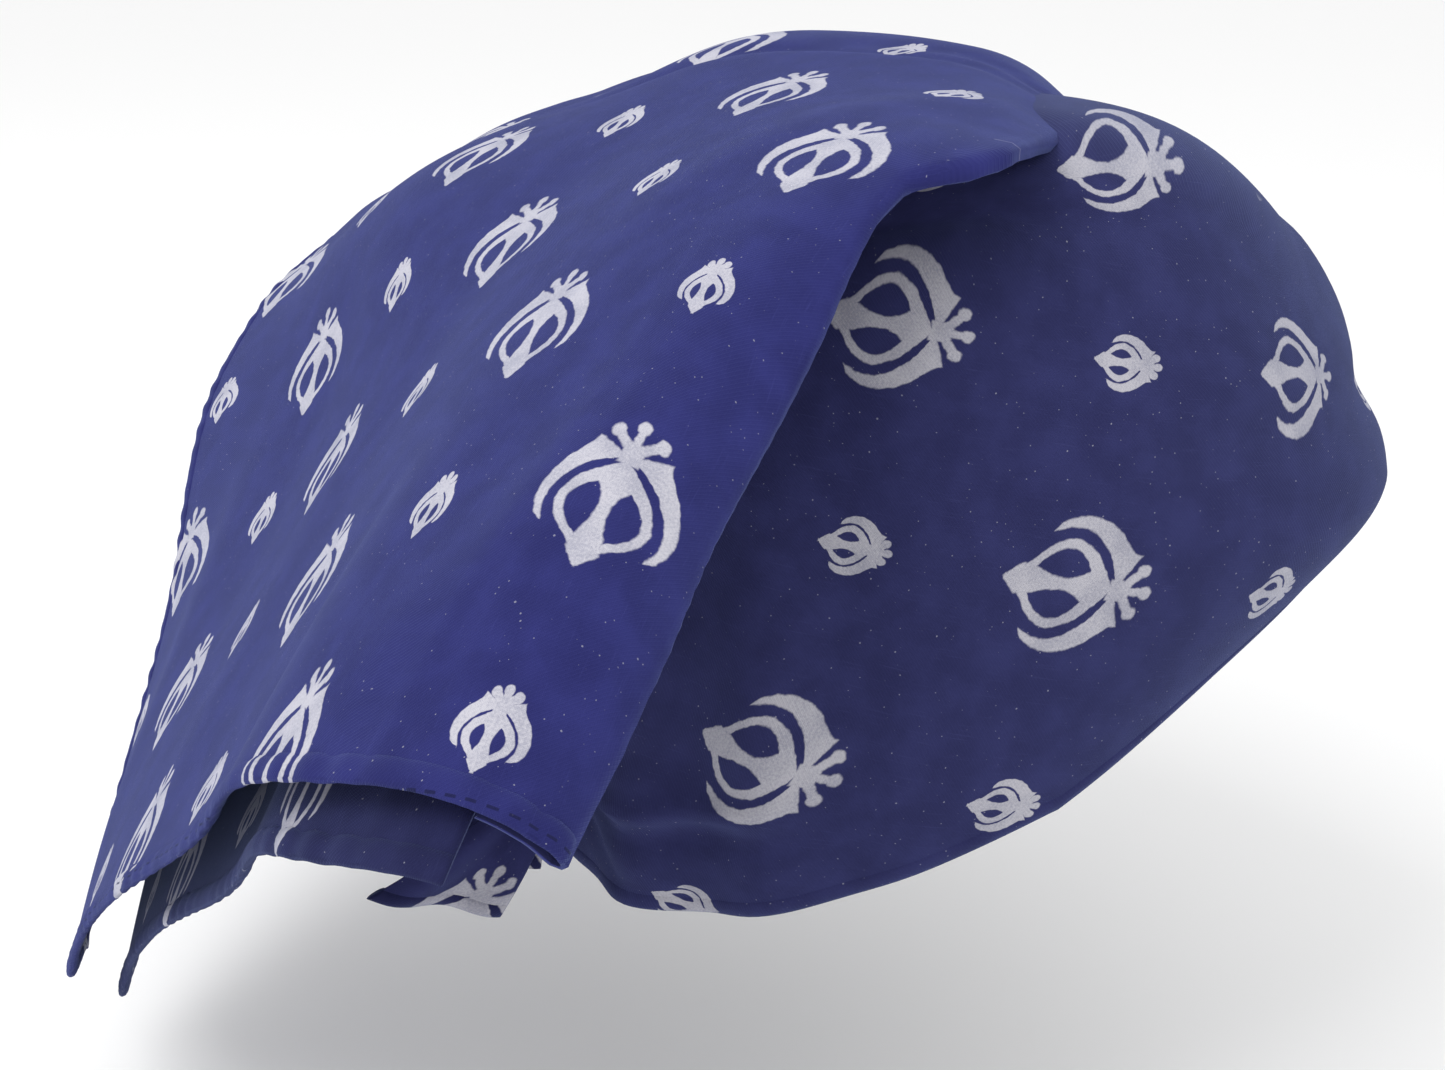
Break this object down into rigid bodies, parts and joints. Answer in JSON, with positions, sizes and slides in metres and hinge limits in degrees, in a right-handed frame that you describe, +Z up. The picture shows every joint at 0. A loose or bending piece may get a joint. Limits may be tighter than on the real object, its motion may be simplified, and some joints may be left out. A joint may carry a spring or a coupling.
{
  "type": "rumal head wrap",
  "caption": "Thin printed cotton square folded corner to corner and tied round the head, close over the crown with a broad square flap hanging behind.",
  "frame": {"origin": "the point inside the crown where the wrap rests on the top of the head", "axes": "+X to the front of the head, +Y to the wearer's left, +Z up"},
  "size_m": [0.3065, 0.3691, 0.2275],
  "materials": {
    "printed_cotton": "matt",
    "cotton_inner_layer": "matt"
  },
  "bodies": {
    "root": {"crown_wrap": "printed_cotton", "outer_flap": "printed_cotton", "inner_flap": "cotton_inner_layer", "knot": "printed_cotton", "near_tie_end": "printed_cotton", "far_tie_end": "printed_cotton"}
  },
  "joints": []
}
